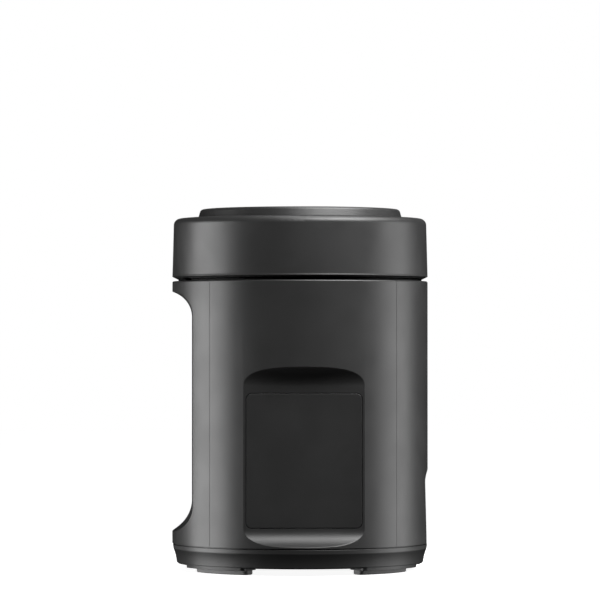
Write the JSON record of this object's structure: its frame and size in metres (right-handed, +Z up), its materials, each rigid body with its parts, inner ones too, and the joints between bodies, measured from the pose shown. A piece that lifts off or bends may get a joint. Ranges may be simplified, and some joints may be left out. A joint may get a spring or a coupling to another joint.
{
  "type": "countertop trash compactor",
  "caption": "Round countertop kitchen-waste compactor with a rear-hinged lid, a lift-out bucket, a geared crushing paddle, side filter drawers and a rear fan.",
  "frame": {"origin": "centre of the body's axis on the floor plane", "axes": "+Z up, +X towards the front (away from the lid hinge), +Y towards the right side as seen from the front"},
  "size_m": [0.255, 0.255, 0.3597],
  "materials": {
    "charcoal_plastic": "satin",
    "base_plastic": "satin",
    "black_plastic": "fine texture",
    "inner_plastic": "fine texture",
    "button_plastic": "gloss",
    "lens": "frosted",
    "rubber": "matt",
    "silicone": "matt",
    "steel": "brushed",
    "gear_steel": "machined",
    "hinge_metal": "black",
    "well_metal": "spun",
    "bucket_coating": "dark non-stick coat",
    "paddle_coating": "dark non-stick coat",
    "bronze": "plain",
    "mica": "matt",
    "circuit": "satin",
    "magnet": "plated",
    "carbon": "matt"
  },
  "bodies": {
    "body": {"base_pan": "base_plastic", "base_screws": "steel", "body_shell": "charcoal_plastic", "bracket_screws": "steel", "bucket": "bucket_coating", "bucket_bush": "bronze", "bucket_well": "well_metal", "chassis_columns": "steel", "chassis_plate": "steel", "chassis_screws": "steel", "deck_screws": "steel", "fan_frame": "black_plastic", "foot_pads": "rubber", "gear_motor": "steel", "gearbox_case": "inner_plastic", "gearbox_screws": "steel", "heater_band": "well_metal", "idler_pin": "steel", "insulating_ring": "mica", "left_filter_bay": "inner_plastic", "left_hinge_bracket": "hinge_metal", "lower_bush": "bronze", "motor_screws": "steel", "power_board": "circuit", "power_inlet": "black_plastic", "rear_grille": "black_plastic", "reed_switch": "circuit", "right_filter_bay": "inner_plastic", "right_hinge_bracket": "hinge_metal", "thermostat": "circuit", "top_deck": "inner_plastic", "upper_bush": "bronze"},
    "lid": {"lid_cover": "charcoal_plastic", "lid_disc": "charcoal_plastic", "lid_liner": "inner_plastic", "lid_gasket": "silicone", "control_board": "circuit", "status_lenses": "lens", "lid_magnet": "magnet", "hinge_pins": "steel", "hinge_washers": "steel", "lid_screws": "steel"},
    "start_button_body": {"start_button": "button_plastic"},
    "paddle_body": {"paddle": "paddle_coating", "paddle_shaft": "steel", "drive_dog": "gear_steel", "output_shaft": "steel", "output_gear": "gear_steel"},
    "idler_body": {"idler_wheel": "gear_steel", "idler_pinion": "gear_steel"},
    "rotor_body": {"motor_shaft": "steel", "motor_pinion": "gear_steel"},
    "fan_body": {"fan_impeller": "black_plastic"},
    "left_filter": {"left_filter_cover": "black_plastic", "left_filter_frame": "inner_plastic", "left_carbon_pad": "carbon"},
    "right_filter": {"right_filter_cover": "black_plastic", "right_filter_frame": "inner_plastic", "right_carbon_pad": "carbon"},
    "handle_body": {"bucket_handle": "steel"}
  },
  "joints": [
    {"name": "lid_hinge", "type": "hinge", "parent": "body", "child": "lid", "pos_m": [-0.0936, 0, 0.3221], "axis": [0, -1, 0], "range_deg": [0, 63.5]},
    {"name": "start_press", "type": "slide", "parent": "lid", "child": "start_button_body", "axis": [0, 0, -1], "range_m": [0, 0.0012], "stiffness_N_per_m": 800, "springref_m": -0.001},
    {"name": "paddle_spin", "type": "hinge", "parent": "body", "child": "paddle_body", "pos_m": [0, 0, 0.12], "axis": [0, 0, 1], "continuous": true},
    {"name": "idler_spin", "type": "hinge", "parent": "body", "child": "idler_body", "pos_m": [0.04937, 0.02644, 0.08], "axis": [0, 0, 1], "continuous": true},
    {"name": "motor_spin", "type": "hinge", "parent": "body", "child": "rotor_body", "pos_m": [0.082, 0, 0.07], "axis": [0, 0, 1], "continuous": true},
    {"name": "fan_spin", "type": "hinge", "parent": "body", "child": "fan_body", "pos_m": [-0.097, 0, 0.14], "axis": [1, 0, 0], "continuous": true},
    {"name": "left_filter_pull", "type": "slide", "parent": "body", "child": "left_filter", "axis": [0, -1, 0], "range_m": [0, 0.03]},
    {"name": "right_filter_pull", "type": "slide", "parent": "body", "child": "right_filter", "axis": [0, 1, 0], "range_m": [0, 0.03]},
    {"name": "handle_swing", "type": "hinge", "parent": "body", "child": "handle_body", "pos_m": [0, 0, 0.264], "axis": [0, -1, 0], "range_deg": [0, 90]}
  ],
  "couplings": [
    {"joint": "idler_spin", "follows": "paddle_spin", "ratio": -3},
    {"joint": "motor_spin", "follows": "paddle_spin", "ratio": 9}
  ]
}
